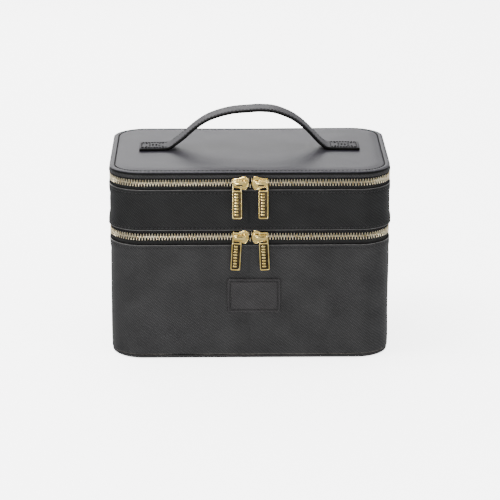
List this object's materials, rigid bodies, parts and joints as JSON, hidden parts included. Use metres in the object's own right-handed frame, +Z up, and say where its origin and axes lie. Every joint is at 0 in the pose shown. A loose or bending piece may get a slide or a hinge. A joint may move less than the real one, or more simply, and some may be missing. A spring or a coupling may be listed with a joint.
{
  "type": "vanity train case",
  "caption": "Two-tier box-shaped train case with rounded corners, zips round the lid and the upper tray, and a strap handle on the lid.",
  "frame": {"origin": "on the floor under the middle of the case's body", "axes": "+Z up, +Y towards the hinged back, +X to the right as seen from the front"},
  "size_m": [0.259, 0.1704, 0.2185],
  "materials": {
    "black_leather": "satin",
    "grey_lining": "matte",
    "stiff_board": "matte",
    "gold_metal": "polished",
    "zip_tape": "matte",
    "mirror_glass": "polished"
  },
  "bodies": {
    "lower_case": {"base_trim": "black_leather", "base_panel": "black_leather", "lower_floor_board": "stiff_board", "lower_wall_board": "stiff_board", "lower_leather_shell": "black_leather", "lower_lining": "grey_lining", "front_patch": "black_leather", "lower_zip_bottom_tape": "zip_tape", "lower_zip_bottom_teeth": "gold_metal", "long_divider": "grey_lining", "front_left_divider": "grey_lining", "front_right_divider": "grey_lining", "rear_divider": "grey_lining", "tier_hinge_strip": "black_leather"},
    "upper_tier": {"tier_leather_shell": "black_leather", "tier_wall_board": "stiff_board", "tray_floor_board": "stiff_board", "tray_lining": "grey_lining", "tier_underside_lining": "grey_lining", "lower_zip_top_tape": "zip_tape", "lower_zip_top_teeth": "gold_metal", "upper_zip_bottom_tape": "zip_tape", "upper_zip_bottom_teeth": "gold_metal", "lid_hinge_strip": "black_leather"},
    "lid": {"lid_top_panel": "black_leather", "lid_piping": "black_leather", "lid_edge_strip": "black_leather", "lid_board": "stiff_board", "lid_lining": "grey_lining", "mirror_frame": "black_leather", "mirror_glass": "mirror_glass", "upper_zip_top_tape": "zip_tape", "upper_zip_top_teeth": "gold_metal", "handle_strap": "black_leather"},
    "lower_left_slider_body": {"lower_left_slider": "gold_metal"},
    "lower_left_pull_body": {"lower_left_pull": "gold_metal"},
    "lower_right_slider_body": {"lower_right_slider": "gold_metal"},
    "lower_right_pull_body": {"lower_right_pull": "gold_metal"},
    "upper_left_slider_body": {"upper_left_slider": "gold_metal"},
    "upper_left_pull_body": {"upper_left_pull": "gold_metal"},
    "upper_right_slider_body": {"upper_right_slider": "gold_metal"},
    "upper_right_pull_body": {"upper_right_pull": "gold_metal"}
  },
  "joints": [
    {"name": "tier_hinge", "type": "hinge", "parent": "lower_case", "child": "upper_tier", "pos_m": [0, 0.0826, 0.1181], "axis": [-1, 0, 0], "range_deg": [0, 95], "deforming": ["tier_hinge_strip"]},
    {"name": "lid_hinge", "type": "hinge", "parent": "upper_tier", "child": "lid", "pos_m": [0, 0.0826, 0.1692], "axis": [-1, 0, 0], "range_deg": [0, 105], "deforming": ["lid_hinge_strip"]},
    {"name": "lower_left_slide", "type": "slide", "parent": "lower_case", "child": "lower_left_slider_body", "axis": [-1, 0, 0], "range_m": [0, 0.08], "deforming": ["lower_zip_bottom_teeth", "lower_zip_top_teeth"]},
    {"name": "lower_left_swing", "type": "hinge", "parent": "lower_left_slider_body", "child": "lower_left_pull_body", "pos_m": [-0.012, -0.0815, 0.1181], "axis": [0, 1, 0], "range_deg": [-10, 100]},
    {"name": "lower_right_slide", "type": "slide", "parent": "lower_case", "child": "lower_right_slider_body", "axis": [1, 0, 0], "range_m": [0, 0.08]},
    {"name": "lower_right_swing", "type": "hinge", "parent": "lower_right_slider_body", "child": "lower_right_pull_body", "pos_m": [0.012, -0.0815, 0.1181], "axis": [0, -1, 0], "range_deg": [-10, 100]},
    {"name": "upper_left_slide", "type": "slide", "parent": "upper_tier", "child": "upper_left_slider_body", "axis": [-1, 0, 0], "range_m": [0, 0.08], "deforming": ["upper_zip_bottom_teeth", "upper_zip_top_teeth"]},
    {"name": "upper_left_swing", "type": "hinge", "parent": "upper_left_slider_body", "child": "upper_left_pull_body", "pos_m": [-0.012, -0.0815, 0.1692], "axis": [0, 1, 0], "range_deg": [-10, 100]},
    {"name": "upper_right_slide", "type": "slide", "parent": "upper_tier", "child": "upper_right_slider_body", "axis": [1, 0, 0], "range_m": [0, 0.08]},
    {"name": "upper_right_swing", "type": "hinge", "parent": "upper_right_slider_body", "child": "upper_right_pull_body", "pos_m": [0.012, -0.0815, 0.1692], "axis": [0, -1, 0], "range_deg": [-10, 100]}
  ]
}
